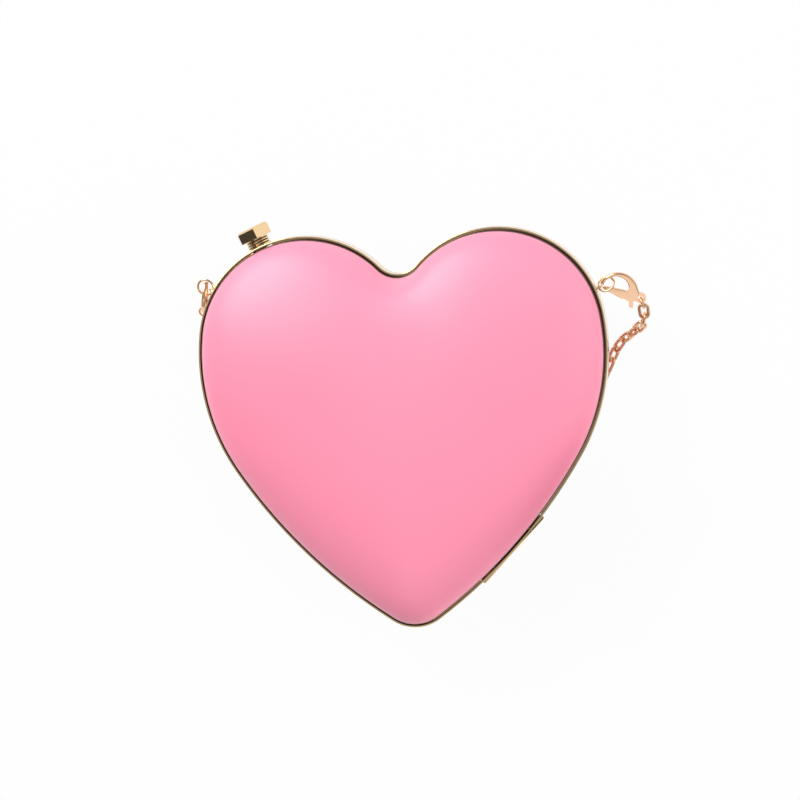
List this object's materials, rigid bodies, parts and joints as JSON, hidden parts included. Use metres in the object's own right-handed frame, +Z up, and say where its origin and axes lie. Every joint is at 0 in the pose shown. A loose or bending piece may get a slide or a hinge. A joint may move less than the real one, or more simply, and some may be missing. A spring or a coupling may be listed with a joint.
{
  "type": "heart shaped purse",
  "caption": "Hard heart-shaped purse: two domed leather-covered halves in a thin metal frame, a hinge, a hexagonal push latch and a chain strap clipped on with lobster clasps.",
  "frame": {"origin": "middle of the flat crown that the back half rests on, under the middle of the heart", "axes": "+Z up through the front half, +Y towards the two lobes, +X to the right as pictured"},
  "size_m": [0.2012, 0.1815, 0.06],
  "materials": {
    "leather": "smooth, softly glossy",
    "shell": "plain moulded",
    "lining": "satin cloth",
    "gold": "polished pale gold plating",
    "spring_steel": "bright wire"
  },
  "bodies": {
    "back": {"back_cover": "leather", "back_shell": "shell", "back_lining": "lining", "back_frame": "gold", "back_hinge_leaf": "gold", "back_hinge_rivets": "gold", "hinge_pin": "gold", "guide_block": "gold", "block_screws": "gold", "left_lug": "gold", "right_lug": "gold", "left_clasp": "gold", "right_clasp": "gold", "left_lever_pin": "gold", "right_lever_pin": "gold", "left_end_ring": "gold", "right_end_ring": "gold", "strap_chain": "gold"},
    "front": {"front_cover": "leather", "front_shell": "shell", "front_lining": "lining", "front_frame": "gold", "front_hinge_leaf": "gold", "front_hinge_rivets": "gold", "latch_keeper": "gold", "keeper_rivets": "gold"},
    "knob": {"hex_knob": "gold", "ribbed_neck": "gold", "plunger_stem": "gold", "stop_clip": "spring_steel", "latch_fork": "gold", "fork_nut": "gold", "latch_spring": "spring_steel"},
    "left_ring": {"left_ring": "gold"},
    "right_ring": {"right_ring": "gold"},
    "left_lever": {"left_lever": "gold"},
    "right_lever": {"right_lever": "gold"}
  },
  "joints": [
    {"name": "lid_hinge", "type": "hinge", "parent": "back", "child": "front", "pos_m": [0.04349, -0.05499, 0.03], "axis": [0.7022, 0.712, 0], "range_deg": [0, 100]},
    {"name": "knob_push", "type": "slide", "parent": "back", "child": "knob", "axis": [0.3907, -0.9205, 0], "range_m": [0, 0.003], "stiffness_N_per_m": 800, "springref_m": -0.002, "deforming": ["latch_spring"]},
    {"name": "left_ring_swing", "type": "hinge", "parent": "back", "child": "left_ring", "pos_m": [-0.08281, 0.06427, 0.02635], "axis": [-0.515, -0.8572, 0], "range_deg": [-3, 3]},
    {"name": "right_ring_swing", "type": "hinge", "parent": "back", "child": "right_ring", "pos_m": [0.08611, 0.05765, 0.02635], "axis": [-0.3746, 0.9272, 0], "range_deg": [-3, 3]},
    {"name": "left_lever_turn", "type": "hinge", "parent": "back", "child": "left_lever", "pos_m": [-0.08841, 0.06051, 0.01494], "axis": [0.9809, -0.1867, -0.0537], "range_deg": [0, 9], "stiffness_Nm_per_rad": 0.01, "springref_deg": -8.59},
    {"name": "right_lever_turn", "type": "hinge", "parent": "back", "child": "right_lever", "pos_m": [0.10011, 0.05369, 0.02418], "axis": [0.0035, 0.3179, -0.9481], "range_deg": [0, 9], "stiffness_Nm_per_rad": 0.01, "springref_deg": -8.59}
  ]
}
